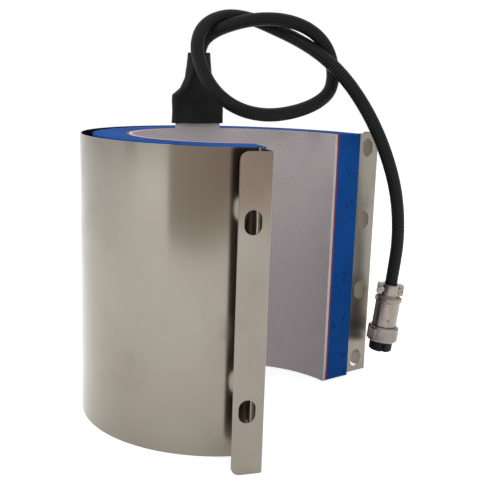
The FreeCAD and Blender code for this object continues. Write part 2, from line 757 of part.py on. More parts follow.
def place_plug(item):
    """Hang a piece of the plug on the cable's end; its own Z axis points back up the cable."""
    item.Placement = Placement(PLUG_ENTRY, Rotation(Vector(0, 1, 0), 1.0))
    bind(item, "Placement.Rotation.Angle", "@PlugTilt")
    return item


def turned_piece(name, corners):
    """A body revolved about its Z axis from a half-section of radius and height."""
    body = new_body(name)
    half = Profile(body, name + "Section", "XZ_Plane")
    half.polygon(corners)
    turned(body, half)
    return body


CABLE_BORE = "(@CableDiameter / 2 + @PlugClearance)"
CLAMP_LEVEL = "(-1 * @ClampLength / 2)"
SHELL_CAVITY = "(@ShellDiameter / 2 - @ShellWall)"


def back_shell():
    """The plug's shell: half the cable clamp, a shoulder and the barrel that carries the ring."""
    body = turned_piece("Shell", [
        (CABLE_BORE, "0"), ("@NeckDiameter / 2", "0"), ("@NeckDiameter / 2", "-1 * @NeckLength"),
        ("@ShoulderDiameter / 2", "-1 * @NeckLength - 1.5"), ("@ShoulderDiameter / 2", "-1 * @NeckLength - 3.5"),
        ("@ShellDiameter / 2", "-1 * @NeckLength - 4.5"),
        ("@ShellDiameter / 2", "-1 * @RingStart - @RingLip - 0.1"),
        ("@CirclipGroove / 2", "-1 * @RingStart - @RingLip - 0.1"),
        ("@CirclipGroove / 2", "-1 * @RingStart - @RingLip - @CirclipThickness - 0.2"),
        ("@ShellDiameter / 2", "-1 * @RingStart - @RingLip - @CirclipThickness - 0.2"),
        ("@ShellDiameter / 2", "-1 * @ShellLength"), (SHELL_CAVITY, "-1 * @ShellLength"),
        (SHELL_CAVITY, "-1 * @CableInsertion"), (CABLE_BORE, "-1 * @CableInsertion")])
    # The front half of the neck is the loose saddle's place.
    saddle_gap = Profile(body, "SaddleGap")
    reach = "@NeckDiameter"
    saddle_gap.polygon([(f"-1 * {reach}", f"-1 * {reach}"), (reach, f"-1 * {reach}"), (reach, "0"),
                        (f"-1 * {reach}", "0")])
    pocket(body, saddle_gap, "@ClampLength", midplane=False, reverse=False)
    ears = Profile(body, "ShellEars", "XZ_Plane")
    half, drop = "(@EarSpan / 2)", "@ClampLength"
    wing = f"({CABLE_BORE} + 0.6)"
    for sign in ("-1", "1"):
        ears.polygon([(f"{sign} * {wing}", "0"), (f"{sign} * {half}", "0"), (f"{sign} * {half}", f"-1 * {drop}"),
                      (f"{sign} * {wing}", f"-1 * {drop}")])
    pad(body, ears, "@EarDiameter / 2").Reversed = True
    holes = Profile(body, "ShellScrewHoles", "XZ_Plane")
    for sign in ("-1", "1"):
        holes.circle((f"{sign} * @ClampScrewSpacing / 2", CLAMP_LEVEL), "@ClampScrewDiameter / 2")
    pocket(body, holes, "3 * @EarDiameter")
    side_hole = Profile(body, "LockScrewHole", "XZ_Plane")
    side_hole.circle(("0", "-1 * @LockScrewDrop"), "@LockScrewDiameter / 2")
    pocket(body, side_hole, "@ShellDiameter", midplane=False, reverse=True)
    place_plug(body)
    return keep(body, "back_shell")


def clamp_saddle():
    """The loose half of the cable clamp, with an ear at each side."""
    body = new_body("Saddle")
    arch = Profile(body, "SaddleArch")
    outer = arch.arc(("0", "0"), "@NeckDiameter / 2", "180", "360")
    inner = arch.arc(("0", "0"), CABLE_BORE, "180", "360")
    arch.rule("Coincident", -1, 1, outer, 3)
    arch.rule("Coincident", -1, 1, inner, 3)
    arch.radius(outer, "@NeckDiameter / 2")
    arch.radius(inner, CABLE_BORE)
    for at, sign in ((1, "-1"), (2, "1")):
        edge = arch.line((f"{sign} * @NeckDiameter / 2", "0"), (f"{sign} * {CABLE_BORE}", "0"))
        arch.join(edge, 1, outer, at)
        arch.join(edge, 2, inner, at)
        arch.rule("PointOnObject", outer, at, -1)
        arch.rule("PointOnObject", inner, at, -1)
    pad(body, arch, "@ClampLength").Reversed = True
    ears = Profile(body, "SaddleEars", "XZ_Plane")
    half, drop = "(@EarSpan / 2)", "@ClampLength"
    wing = f"({CABLE_BORE} + 0.6)"
    for sign in ("-1", "1"):
        ears.polygon([(f"{sign} * {wing}", "0"), (f"{sign} * {half}", "0"), (f"{sign} * {half}", f"-1 * {drop}"),
                      (f"{sign} * {wing}", f"-1 * {drop}")])
    pad(body, ears, "@EarDiameter / 2")
    holes = Profile(body, "SaddleScrewHoles", "XZ_Plane")
    for sign in ("-1", "1"):
        holes.circle((f"{sign} * @ClampScrewSpacing / 2", CLAMP_LEVEL), "@ClampScrewDiameter / 2")
    pocket(body, holes, "3 * @EarDiameter")
    recess = Profile(body, "SaddleHeadRecess", "XZ_Plane")
    recess.shift("z", "@EarDiameter / 2")
    for sign in ("-1", "1"):
        recess.circle((f"{sign} * @ClampScrewSpacing / 2", CLAMP_LEVEL), "@ClampScrewDiameter * 0.8 + 0.1")
    pocket(body, recess, "@NeckDiameter", midplane=False, reverse=True)
    place_plug(body)
    return keep(body, "clamp_saddle")


def slotted_screw(name, shank, length, head, height):
    """A slotted screw along Z, its head's underside at the origin and its slot along X."""
    stem = doc.addObject("Part::Cylinder", name + "Shank")
    bind(stem, "Radius", f"{shank} / 2")
    bind(stem, "Height", length)
    bind(stem, "Placement.Base.z", f"-1 * {length}")
    cap = doc.addObject("Part::Cylinder", name + "Head")
    bind(cap, "Radius", f"{head} / 2")
    bind(cap, "Height", height)
    whole = doc.addObject("Part::Fuse", name + "Whole")
    whole.Base, whole.Tool = stem, cap
    slot = doc.addObject("Part::Box", name + "Slot")
    bind(slot, "Length", f"1.2 * {head}")
    bind(slot, "Width", f"{head} / 5")
    bind(slot, "Height", height)
    bind(slot, "Placement.Base.x", f"-0.6 * {head}")
    bind(slot, "Placement.Base.y", f"-0.1 * {head}")
    bind(slot, "Placement.Base.z", f"{height} / 2")
    screw = doc.addObject("Part::Cut", name)
    screw.Base, screw.Tool = whole, slot
    return screw


def stand_screw(screw, side, across, height):
    """Turn a screw's head outwards along the plug's Y axis, on the side given by +1 or -1."""
    screw.Placement = Placement(Vector(), Rotation(Vector(1, 0, 0), -90 * side))
    bind(screw, "Placement.Base.x", across)
    bind(screw, "Placement.Base.z", height)
    return screw


def plug_group(members, name, label):
    """Several like solids of the plug, kept as one node."""
    group = doc.addObject("Part::Compound", name)
    group.Links = members
    place_plug(group)
    return keep(group, label)


def clamp_screws():
    """Two small slotted screws that pull the saddle onto the cable."""
    screws = []
    for index, sign in enumerate(("-1", "1")):
        screw = slotted_screw(f"ClampScrew{index}", "(@ClampScrewDiameter - 2 * @ScrewClearance)", "@EarDiameter",
                              "(@ClampScrewDiameter * 1.6)", "@ScrewHeadHeight")
        stand_screw(screw, -1, f"{sign} * @ClampScrewSpacing / 2", CLAMP_LEVEL)
        bind(screw, "Placement.Base.y", "-1 * @EarDiameter / 2 - @ScrewClearance")
        screws.append(screw)
    return plug_group(screws, "ClampScrews", "clamp_screws")


def lock_screw():
    """The small screw that holds the insert in the barrel, its head sunk in the wall."""
    screw = slotted_screw("LockScrewBlank", "(@LockScrewDiameter - 2 * @ScrewClearance)", "@LockScrewLength",
                          "(@LockScrewDiameter - 2 * @ScrewClearance)", "@LockScrewDiameter / 4")
    stand_screw(screw, -1, "0", "-1 * @LockScrewDrop")
    bind(screw, "Placement.Base.y", "-1 * @ShellDiameter / 2 + @LockScrewDiameter / 2")
    return plug_group([screw], "LockScrew", "lock_screw")


def coupling_ring():
    """The knurled ring that turns on the barrel and screws onto the mating connector."""
    body = turned_piece("Ring", [
        ("(@ShellDiameter / 2 + @PlugClearance)", "-1 * @RingStart"),
        ("(@RingDiameter / 2 - 0.8)", "-1 * @RingStart"), ("@RingDiameter / 2", "-1 * @RingStart - 0.8"),
        ("@RingDiameter / 2", "-1 * @RingStart - @RingLength + 0.8"),
        ("(@RingDiameter / 2 - 0.8)", "-1 * @RingStart - @RingLength"),
        ("@RingBore / 2", "-1 * @RingStart - @RingLength"), ("@RingBore / 2", "-1 * @RingStart - @RingLip"),
        ("(@ShellDiameter / 2 + @PlugClearance)", "-1 * @RingStart - @RingLip")])
    groove = Profile(body, "Knurl")
    groove.shift("z", "-1 * @RingStart - 1.6")
    groove.circle(("@RingDiameter / 2 + @KnurlDepth", "0"), "2 * @KnurlDepth")
    cut = pocket(body, groove, "@RingLength - 3.2", midplane=False)
    polar_copies(body, cut, "@KnurlCount")
    place_plug(body)
    return keep(body, "coupling_ring")


def retaining_ring():
    """An open spring ring in the barrel's groove, which keeps the coupling ring on."""
    body = new_body("Circlip")
    ring = Profile(body, "CirclipSection")
    ring.shift("z", "-1 * @RingStart - @RingLip - @CirclipThickness - 0.15")
    outer = ring.arc(("0", "0"), "@CirclipDiameter / 2", "15", "345")
    inner = ring.arc(("0", "0"), "@CirclipGroove / 2 + 0.05", "15", "345")
    ring.rule("Coincident", -1, 1, outer, 3)
    ring.rule("Coincident", -1, 1, inner, 3)
    ring.radius(outer, "@CirclipDiameter / 2")
    ring.radius(inner, "@CirclipGroove / 2 + 0.05")
    for at, angle in ((1, "15"), (2, "345")):
        ends = [(f"({r}) * cos({angle})", f"({r}) * sin({angle})")
                for r in ("@CirclipGroove / 2 + 0.05", "@CirclipDiameter / 2")]
        edge = ring.line(*ends)
        ring.join(edge, 1, inner, at)
        ring.join(edge, 2, outer, at)
        ring.rule("PointOnObject", -1, 1, edge)
        ring.tie(angle, "Angle", edge)
    pad(body, ring, "@CirclipThickness")
    place_plug(body)
    return keep(body, "retaining_ring")


def contact_places():
    """The four contacts' places on their circle, as expressions."""
    return [(f"@ContactCircle / 2 * cos({angle})", f"@ContactCircle / 2 * sin({angle})")
            for angle in (45, 135, 225, 315)]


def insulator_insert():
    """The black insert in the barrel: a face with a key slot and four contact holes."""
    body = turned_piece("Insert", [
        ("0", "-1 * @ShellLength + @SpigotLength"), (f"({SHELL_CAVITY} - @PlugClearance)", "-1 * @ShellLength + @SpigotLength"),
        (f"({SHELL_CAVITY} - @PlugClearance)", "-1 * @ShellLength - 0.1"),
        ("@InsertDiameter / 2", "-1 * @ShellLength - 0.1"),
        ("@InsertDiameter / 2", "-1 * @ShellLength - @InsertLength + 0.5"),
        ("@InsertDiameter / 2 - 0.5", "-1 * @ShellLength - @InsertLength"), ("0", "-1 * @ShellLength - @InsertLength")])
    holes = Profile(body, "ContactHoles")
    holes.shift("z", "-1 * @ShellLength - @InsertLength")
    for place in contact_places():
        holes.circle(place, "@ContactDiameter / 2")
    pocket(body, holes, "2 * (@InsertLength + @SpigotLength + 1)")
    key = Profile(body, "KeySlot")
    key.shift("z", "-1 * @ShellLength - @InsertLength")
    half, inner, outer = "(@KeyWidth / 2)", "(@InsertDiameter / 2 - @KeyDepth)", "(@InsertDiameter / 2 + 1)"
    key.polygon([(f"-1 * {half}", f"-1 * {outer}"), (half, f"-1 * {outer}"), (half, f"-1 * {inner}"),
                 (f"-1 * {half}", f"-1 * {inner}")])
    pocket(body, key, "@InsertLength", midplane=True)
    side = Profile(body, "LockScrewSeat", "XZ_Plane")
    side.shift("z", "@ShellDiameter / 2 - @LockScrewDiameter / 2 - @LockScrewLength - 0.2")
    side.circle(("0", "-1 * @LockScrewDrop"), "@LockScrewDiameter / 2")
    pocket(body, side, "@ShellDiameter", midplane=False, reverse=True)
    place_plug(body)
    return keep(body, "insulator_insert")


def contact_sockets():
    """Four tubular contacts, set a little back from the insert's face."""
    length, bottom = "@ContactLength", "(-1 * @ShellLength - @InsertLength + @ContactRecess)"
    pins = []
    for index, (x, y) in enumerate(contact_places()):
        pins.append(rod(f"Contact{index}", "(@ContactDiameter - 2 * @ScrewClearance)", length, (x, y, bottom),
                        bore="@PinBore"))
    return plug_group(pins, "Contacts", "contact_sockets")


steel_band()
foam_pad()
backing_sheet()
heating_foil()
heater_mat()
temperature_sensor()
heat_shrink_sleeve()
lead_set()
cable()
back_shell()
clamp_saddle()
clamp_screws()
lock_screw()
coupling_ring()
retaining_ring()
insulator_insert()
contact_sockets()

doc.recompute()
for item in doc.Objects:
    if "Invalid" in item.State or "Error" in item.State:
        raise RuntimeError(f"{item.Label} did not build: {item.State}")
for node in nodes:
    if node.Shape.isNull() or not node.Shape.isValid():
        raise RuntimeError(f"{node.Label} has no valid shape")

os.makedirs("parts", exist_ok=True)
for node in nodes:
    node.Shape.exportStep(f"parts/{node.Label}.step")
    box = node.Shape.BoundBox
    print(f"{node.Label}: {len(node.Shape.Solids)} solids, {node.Shape.Volume:.0f} mm3, "
          f"{box.XLength:.1f} x {box.YLength:.1f} x {box.ZLength:.1f} mm")
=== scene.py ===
"""Dress the mug press band heater: steel, silicone, braid and nickel over the CAD frame."""
import math

import bmesh
import bpy
from mathutils import Matrix, Vector


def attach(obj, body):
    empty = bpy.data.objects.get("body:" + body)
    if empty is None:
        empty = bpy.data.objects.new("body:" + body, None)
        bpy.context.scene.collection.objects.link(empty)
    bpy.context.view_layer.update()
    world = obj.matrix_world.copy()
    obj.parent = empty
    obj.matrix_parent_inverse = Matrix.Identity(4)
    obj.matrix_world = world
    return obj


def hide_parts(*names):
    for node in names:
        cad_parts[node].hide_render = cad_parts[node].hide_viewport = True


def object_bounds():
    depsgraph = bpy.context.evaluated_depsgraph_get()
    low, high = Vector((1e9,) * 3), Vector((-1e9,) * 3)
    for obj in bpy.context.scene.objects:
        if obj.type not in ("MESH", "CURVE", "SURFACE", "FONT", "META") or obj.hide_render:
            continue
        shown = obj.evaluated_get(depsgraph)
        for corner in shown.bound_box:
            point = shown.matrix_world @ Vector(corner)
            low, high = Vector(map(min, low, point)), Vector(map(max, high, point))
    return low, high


bl_info = {
    "name": "Mug Press Band Heater",
    "version": (1, 0, 0),
    "blender": (4, 5, 0),
    "location": "View3D > Sidebar > Band Heater",
    "description": "Builds the lining, sleeve, cable and finishes of a mug press band heater",
    "category": "Object",
}

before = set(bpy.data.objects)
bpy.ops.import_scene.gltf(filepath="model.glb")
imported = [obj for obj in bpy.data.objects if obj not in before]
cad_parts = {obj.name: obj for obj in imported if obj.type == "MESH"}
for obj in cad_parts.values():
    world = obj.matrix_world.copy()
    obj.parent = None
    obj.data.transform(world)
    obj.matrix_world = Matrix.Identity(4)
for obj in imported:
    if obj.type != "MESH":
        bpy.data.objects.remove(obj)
CAD_BOX = [list(corner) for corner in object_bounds()]
MM = 0.001
TURN = 2 * math.pi

# The cable's route in millimetres: the control points of its centreline, sleeve to plug.
CABLE_ROUTE = [
    (-14.4, 47.7, 175.0), (-14.4, 47.7, 184.0), (-8.6, 47.2, 191.5), (3.9, 45.8, 196.8),
    (17.9, 44.8, 199.9), (32.9, 45.3, 199.7), (46.4, 46.8, 195.2), (55.9, 48.3, 186.5),
    (59.9, 48.3, 174.5), (58.9, 44.3, 163.0), (50.9, 36.8, 156.0), (37.4, 28.3, 151.0),
    (21.9, 21.8, 149.0), (6.9, 19.8, 152.0), (-5.3, 22.8, 160.5), (-12.6, 28.3, 172.5),
    (-15.9, 34.3, 185.0), (-11.9, 42.8, 196.0), (-0.1, 52.3, 201.8), (13.9, 56.3, 200.6),
    (27.9, 54.8, 195.0), (40.9, 49.3, 189.0), (53.4, 42.8, 181.0), (64.9, 37.3, 170.0),
    (74.9, 34.8, 156.8), (83.4, 34.1, 142.5), (90.4, 35.0, 127.5), (95.9, 36.5, 112.0),
    (99.2, 38.4, 96.0), (100.5, 40.3, 80.0), (99.9, 42.3, 66.1), (97.5, 42.3, 42.8),
]
CABLE_STEP = 0.00058    # between two rings of the cable's mesh
BRAID_RELIEF = 0.00006  # from the braid's hollows to its crests

# The plug's rounded pieces: CAD node, piece, edge width, body.
ROUNDED_PLUG = (("back_shell", "plug_shell", 0.00030, "heater"),
                ("clamp_saddle", "cable_saddle", 0.00045, "heater"),
                ("coupling_ring", "screw_ring", 0.00010, "ring"))

MAT_RADIUS = 0.052      # at which the weave's pitch holds round the mat
NICK_X, NICK_Z = 0.0850, 0.0083

FLOOR_GLOW = 0.60       # added to the floor's own brightness for the eye's rays
SKY_LIGHT = 0.50        # the sky's strength as light on the object; 1 to the eye's rays
# Cards seen only in reflections, facing the heater: name, place, size, colour.
CARDS = (("near_card", (-0.12, -0.50, 0.25), (0.44, 0.5), (0.72, 0.64, 0.58)),
         ("left_card", (-1.6, -0.5, 0.3), (0.35, 1.6), (0.60, 0.57, 0.52)),
         ("back_card", (1.5, 0.9, 0.4), (1.0, 1.4), (0.60, 0.56, 0.52)))
# Soft lamps: name, place, size, watts, whether reflections show it.
LAMPS = (("left_window", (-0.9, -0.7, 0.7), (0.5, 1.0), 6.0, True),
         ("front_fill", (0.7, -1.2, 0.9), (0.9, 0.7), 6.0, False),
         ("top_light", (0.1, 0.3, 1.3), (1.0, 1.0), 8.0, False))
LAMP_AIM = Vector((0.0, 0.0, 0.08))

CAMERA_PLACE = (-0.002067, -0.411258, 0.16959)
CAMERA_RIGHT = Vector((0.99919176, -0.02583603, 0.03079504))
CAMERA_UP = Vector((-0.02497787, 0.20118704, 0.97923433))
CAMERA_AHEAD = Vector((0.03149509, 0.97921207, -0.2003791))
SENSOR_WIDTH, FOCAL_LENGTH = 36.0, 60.67


class Value:
    """A number that varies over a surface; arithmetic on it adds Math nodes."""

    def __init__(self, finish, socket):
        self.finish, self.socket = finish, socket

    def combine(self, operation, first, second=None):
        values = [item for item in (first, second) if item is not None]
        return self.finish.node("ShaderNodeMath", *values, settings={"operation": operation})

    def __add__(self, other): return self.combine("ADD", self, other)
    def __radd__(self, other): return self.combine("ADD", other, self)
    def __sub__(self, other): return self.combine("SUBTRACT", self, other)
    def __rsub__(self, other): return self.combine("SUBTRACT", other, self)
    def __mul__(self, other): return self.combine("MULTIPLY", self, other)
    def __abs__(self): return self.combine("ABSOLUTE", self)
    def sine(self): return self.combine("SINE", self)
    def angle_from(self, other): return self.combine("ARCTAN2", self, other)

    def ramp(self, low, high):
        """Smoothly from 0 to 1 as this value goes from low to high."""
        return self.finish.node("ShaderNodeMapRange", self, low, high,
                                settings={"interpolation_type": "SMOOTHSTEP"})


class Finish:
    """A material under construction, with one method for every kind of node."""

    def __init__(self, name, **sockets):
        self.material = bpy.data.materials.new(name)
        self.material.use_nodes = True
        self.tree = self.material.node_tree
        self.shader = self.tree.nodes["Principled BSDF"]
        for socket, value in sockets.items():
            self.shader.inputs[socket.replace("_", " ")].default_value = value

    def fill(self, socket, value):
        """Link a varying value to a socket, or set the socket to a constant."""
        if isinstance(value, Value):
            self.tree.links.new(value.socket, socket)
        else:
            socket.default_value = value

    def node(self, kind, *values, settings=None, output=0, **named):
        """Add a node; values fill its enabled inputs in order, named ones by name."""
        item = self.tree.nodes.new(kind)
        for key, setting in (settings or {}).items():
            setattr(item, key, setting)
        inputs = [socket for socket in item.inputs if socket.enabled]
        for socket, value in zip(inputs, values):
            self.fill(socket, value)
        for key, value in named.items():
            self.fill(item.inputs[key], value)
        outputs = [socket for socket in item.outputs if socket.enabled]
        return Value(self, outputs[output])

    def place(self):
        """Object coordinates, in metres."""
        return self.node("ShaderNodeTexCoord", output=3)

    def axes(self, vector):
        """The three numbers of a vector."""
        item = self.tree.nodes.new("ShaderNodeSeparateXYZ")
        self.tree.links.new(vector.socket, item.inputs[0])
        return [Value(self, socket) for socket in item.outputs]

    def noise(self, vector, scale, detail=3.0, rough=0.5):
        return self.node("ShaderNodeTexNoise", Vector=vector, Scale=scale,
                         Detail=detail, Roughness=rough)

    def cells(self, vector, scale):
        return self.node("ShaderNodeTexVoronoi", Vector=vector, Scale=scale)

    def stretched(self, vector, scale):
        return self.node("ShaderNodeMapping", Vector=vector, Scale=scale)

    def blend(self, share, first, second):
        """Mix two colours by a varying share; each colour is a triple or varies itself."""
        item = self.tree.nodes.new("ShaderNodeMix")
        item.data_type = "RGBA"
        self.fill(item.inputs[0], share)
        for socket, colour in ((item.inputs[6], first), (item.inputs[7], second)):
            self.fill(socket, colour if isinstance(colour, Value) else (*colour, 1.0))
        return Value(self, item.outputs[2])

    def feed(self, **sockets):
        """Link values to the shader's own sockets."""
        for name, value in sockets.items():
            self.fill(self.shader.inputs[name.replace("_", " ")], value)

    def relief(self, height, depth, strength=1.0):
        """Raise the surface by a height from 0 to 1, over a depth in metres."""
        self.feed(Normal=self.node("ShaderNodeBump", Height=height, Distance=depth,
                                   Strength=strength))


def dress(node, finish):
    """Give a CAD node a finish."""
    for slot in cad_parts[node].material_slots:
        slot.material = finish.material


def copy_of(node, name):
    """A merged, editable copy of a CAD node, selected alone and ready for edit mode."""
    bpy.ops.object.select_all(action="DESELECT")
    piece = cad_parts[node].copy()
    piece.data = piece.data.copy()
    piece.name = piece.data.name = name
    bpy.context.scene.collection.objects.link(piece)
    piece.select_set(True)
    bpy.context.view_layer.objects.active = piece
    bpy.ops.object.mode_set(mode="EDIT")
    bpy.ops.mesh.select_all(action="SELECT")
    bpy.ops.mesh.remove_doubles(threshold=0.00001)
    bpy.ops.mesh.dissolve_limited(angle_limit=math.radians(0.6))
    bpy.ops.object.mode_set(mode="OBJECT")
    return piece


def finished(piece, finish, body="heater"):
    """Give a new piece its material and let it ride on its body."""
    piece.data.materials.clear()
    piece.data.materials.append(finish.material)
    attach(piece, body)


def round_edges(piece, width, corner, smooth):
    """Bevel edges sharper than a corner and shade turns below smooth as one; both in degrees."""
    bevel = piece.modifiers.new("Soft edges", "BEVEL")
    bevel.width, bevel.segments, bevel.limit_method = width, 3, "ANGLE"
    bevel.angle_limit = math.radians(corner)
    bpy.ops.object.modifier_apply(modifier=bevel.name)
    bpy.ops.object.shade_smooth_by_angle(angle=math.radians(smooth))


def steel_finish(settings):
    """Rolled stainless: faint streaks, smudges, a nick and a painted brown reflection at the near
    top corner.
    """
    steel = Finish("stainless_steel", Metallic=1.0)
    place = steel.place()
    x, y, z = steel.axes(place)
    streaks = steel.noise(steel.stretched(place, (900, 900, 14)), 1.0, 4)
    smudge = steel.noise(place, 26.0, 5, 0.62).ramp(0.50, 0.74)
    haze = steel.noise(place, 9.0, 3).ramp(0.35, 0.7)
    # Painted reflection: a brown patch over the near top of the band, right of the middle, darkens
    # its colour.
    painted_reflection = (steel.noise(place, 45.0, 3) * 0.02 + z).ramp(0.112, 0.137)
    painted_reflection = painted_reflection * x.ramp(-0.028, 0.014) * (0.0 - y).ramp(0.062, 0.070)
    nick = 1.0 - abs(x - NICK_X).ramp(0.0008, 0.0013)
    nick = nick * (1.0 - abs(z - NICK_Z).ramp(0.0001, 0.0005))
    dulled = x.ramp(0.045, 0.055) * y.ramp(0.018, 0.026)
    base = steel.blend(haze, settings.steel, (0.225, 0.202, 0.168))
    base = steel.blend(smudge * 0.35, base, (0.17, 0.15, 0.125))
    base = steel.blend(nick * 0.8, base, (0.06, 0.05, 0.045))
    steel.feed(Base_Color=steel.blend(painted_reflection * 0.6, base, (0.12, 0.065, 0.045)),
               Roughness=(0.13 + streaks * 0.05 + smudge * 0.10 + painted_reflection * 0.05
                          + dulled * 0.17))
    waves = steel.noise(steel.stretched(place, (22, 22, 7)), 1.0, 1)
    steel.relief(waves + streaks * 0.004, 0.0006, 0.5)
    return steel


def sponge_finish(settings):
    """Blue silicone sponge: a fine open skin with scattered pits, painted dark as the shade inside
    them.
    """
    sponge = Finish("blue_sponge", Roughness=0.85, Specular_IOR_Level=0.12)
    place = sponge.place()
    grain = sponge.noise(place, 900.0, 3)
    pores = sponge.cells(place, 520.0)
    # Painted shade: the pits' colour is darkened where shade falls inside them.
    shaded_pits = sponge.noise(place, 210.0, 2).ramp(0.56, 0.66) * (1.0 - pores.ramp(0.1, 0.55))
    cloud = sponge.noise(place, 30.0, 4)
    base = sponge.blend(cloud.ramp(0.3, 0.7), settings.sponge, (0.003, 0.062, 0.26))
    base = sponge.blend(grain.ramp(0.45, 0.8) * 0.25, base, (0.010, 0.10, 0.34))
    sponge.feed(Base_Color=sponge.blend(shaded_pits, base, (0.002, 0.012, 0.06)))
    sponge.relief(grain * 0.4 + pores * 0.3 - shaded_pits, 0.0005, 0.6)
    return sponge


def mat_finish(settings):
    """Grey silicone rubber that carries the print of the cloth it was pressed on, with painted
    shade in the print's hollows.
    """
    mat = Finish("grey_silicone", Roughness=0.55)
    mat.shader.inputs["Sheen Weight"].default_value = 0.15
    place = mat.place()
    x, y, z = mat.axes(place)
    around = y.angle_from(x) * MAT_RADIUS
    pitch = TURN / (settings.weave_pitch * 2)
    one = ((around + z) * pitch).sine()
    other = ((around - z) * pitch).sine()
    weave_hollows = one * other
    soil = mat.noise(place, 34.0, 4).ramp(0.4, 0.75)
    base = mat.blend(soil * 0.4, settings.mat, (0.37, 0.335, 0.345))
    # Painted shade: the weave's hollows are darkened in the colour.
    mat.feed(Base_Color=mat.blend(weave_hollows.ramp(0.15, 0.6) * 0.55, base, (0.21, 0.185, 0.20)))
    mat.relief(1.0 - weave_hollows.ramp(-0.2, 0.7), 0.0002, 0.6)
    return mat


def plain_finish(name, colour, rough, metal=0.0, shine=0.5):
    """A moulded, plated or painted surface with a fine grain of its own."""
    surface = Finish(name, Metallic=metal, Specular_IOR_Level=shine)
    place = surface.place()
    speckle = surface.noise(place, 600.0, 3)
    cloud = surface.noise(place, 50.0, 3)
    dark = tuple(channel * 0.82 for channel in colour)
    surface.feed(Base_Color=surface.blend(cloud.ramp(0.35, 0.7), colour, dark),
                 Roughness=rough + speckle * 0.10 - 0.05 + cloud * 0.06)
    surface.relief(speckle, 0.00005, 0.4)
    return surface


def sleeve_finish(settings):
    """Black heat-shrink tubing: a soft sheen over shallow shrinkage folds, with a painted highlight
    on their crests.
    """
    sleeve = Finish("black_sleeve", Specular_IOR_Level=0.12)
    place = sleeve.place()
    folds = sleeve.noise(sleeve.stretched(place, (150, 150, 60)), 1.0, 3)
    grain = sleeve.noise(place, 1500.0, 2)
    # Painted highlight: the raised crests of the folds are lighter in the colour.
    sleeve.feed(Base_Color=sleeve.blend(folds.ramp(0.3, 0.75), settings.sleeve,
                                        (0.010, 0.010, 0.010)),
                Roughness=0.36 + folds * 0.14 + grain * 0.08)
    sleeve.relief(folds + grain * 0.05, 0.0012, 0.7)
    return sleeve


def braid_finish(settings):
    """Black braided jacket, patterned on the tube's own run and turn, with painted shade in the
    braid's hollows.
    """
    braid = Finish("black_braid", Specular_IOR_Level=0.15)
    uv = braid.node("ShaderNodeUVMap", settings={"uv_map": "Braid"})
    along, turn = braid.axes(uv)[:2]
    weave = ((along + turn) * TURN).sine() * ((along - turn) * TURN).sine() * 0.5 + 0.5
    strands = (turn * (TURN * 3)).sine() * 0.5 + 0.5
    dust = braid.noise(braid.place(), 60.0, 4).ramp(0.45, 0.8)
    # Painted shade: the braid's hollows are darkened, its crests keep the braid colour.
    base = braid.blend(weave.ramp(0.2, 0.9), (0.002, 0.002, 0.002), settings.braid)
    braid.feed(Base_Color=braid.blend(dust * 0.20, base, (0.020, 0.019, 0.018)),
               Roughness=0.42 + strands * 0.12 + dust * 0.12)
    braid.relief(weave + strands * 0.15, 0.0004, 0.7)
    return braid


def nickel_finish(settings):
    """Satin nickel plate with turning marks and a cloudy tone."""
    nickel = Finish("nickel", Metallic=1.0)
    place = nickel.place()
    marks = nickel.noise(nickel.stretched(place, (60, 60, 4200)), 1.0, 2)
    cloud = nickel.noise(place, 220.0, 4)
    nickel.feed(Base_Color=nickel.blend(cloud.ramp(0.4, 0.75) * 0.6, settings.nickel,
                                        (0.20, 0.175, 0.15)),
                Roughness=0.24 + marks * 0.08 + cloud.ramp(0.4, 0.8) * 0.12)
    nickel.relief(marks + cloud * 0.4, 0.00002, 0.5)
    return nickel


def eye_rays(tree):
    """A socket: 1 for rays from the eye, straight, mirrored or through glass, else 0."""
    rays = tree.nodes.new("ShaderNodeLightPath")
    total = rays.outputs["Is Camera Ray"]
    for name in ("Is Glossy Ray", "Is Transmission Ray"):
        both = tree.nodes.new("ShaderNodeMath")
        both.operation = "MAXIMUM"
        tree.links.new(total, both.inputs[0])
        tree.links.new(rays.outputs[name], both.inputs[1])
        total = both.outputs[0]
    return total


def colour(name, description, default):
    return bpy.props.FloatVectorProperty(name=name, description=description, default=default,
                                         subtype="COLOR", size=3, min=0, max=1)


def distance(name, description, default, least):
    return bpy.props.FloatProperty(name=name, description=description, default=default,
                                   min=least, subtype="DISTANCE", unit="LENGTH")


def number(name, description, default, least):
    return bpy.props.IntProperty(name=name, description=description, default=default, min=least)


class BandSettings(bpy.types.PropertyGroup):
    """What a user may change on the band and its lining."""
    steel: colour("Steel", "Colour of the stainless band", (0.27, 0.247, 0.211))
    sponge: colour("Sponge", "Colour of the silicone sponge", (0.002, 0.048, 0.215))
    mat: colour("Mat", "Colour of the heater mat", (0.49, 0.44, 0.45))
    weave_pitch: distance("Weave pitch", "Distance between the mat's diagonal ribs",
                          0.0011, 0.0005)
    sponge_edge: distance("Sponge edge", "Rounding of the sponge's cut edges", 0.0005, 0.0001)


class CableSettings(bpy.types.PropertyGroup):
    """What a user may change on the cable, sleeve and plug."""
    braid: colour("Braid", "Colour of the cable's braid", (0.007, 0.007, 0.008))
    sleeve: colour("Sleeve", "Colour of the shrunk sleeve", (0.005, 0.005, 0.006))
    nickel: colour("Nickel", "Colour of the plug's plating", (0.28, 0.245, 0.22))
    diameter: distance("Cable diameter", "Thickness over the braid", 0.0072, 0.001)
    sides: number("Cable sides", "Points round the cable", 48, 16)
    braid_length: distance("Braid length", "Length of one crossing of the braid", 0.0017, 0.0005)
    braid_count: number("Braid count", "Crossings of the braid round the cable", 14, 4)


class HEATER_OT_band(bpy.types.Operator):
    """Finish the stainless band"""
    bl_idname = "heater.band"
    bl_label = "Steel Band"

    def execute(self, context):
        dress("steel_band", steel_finish(context.scene.band_settings))
        return {"FINISHED"}


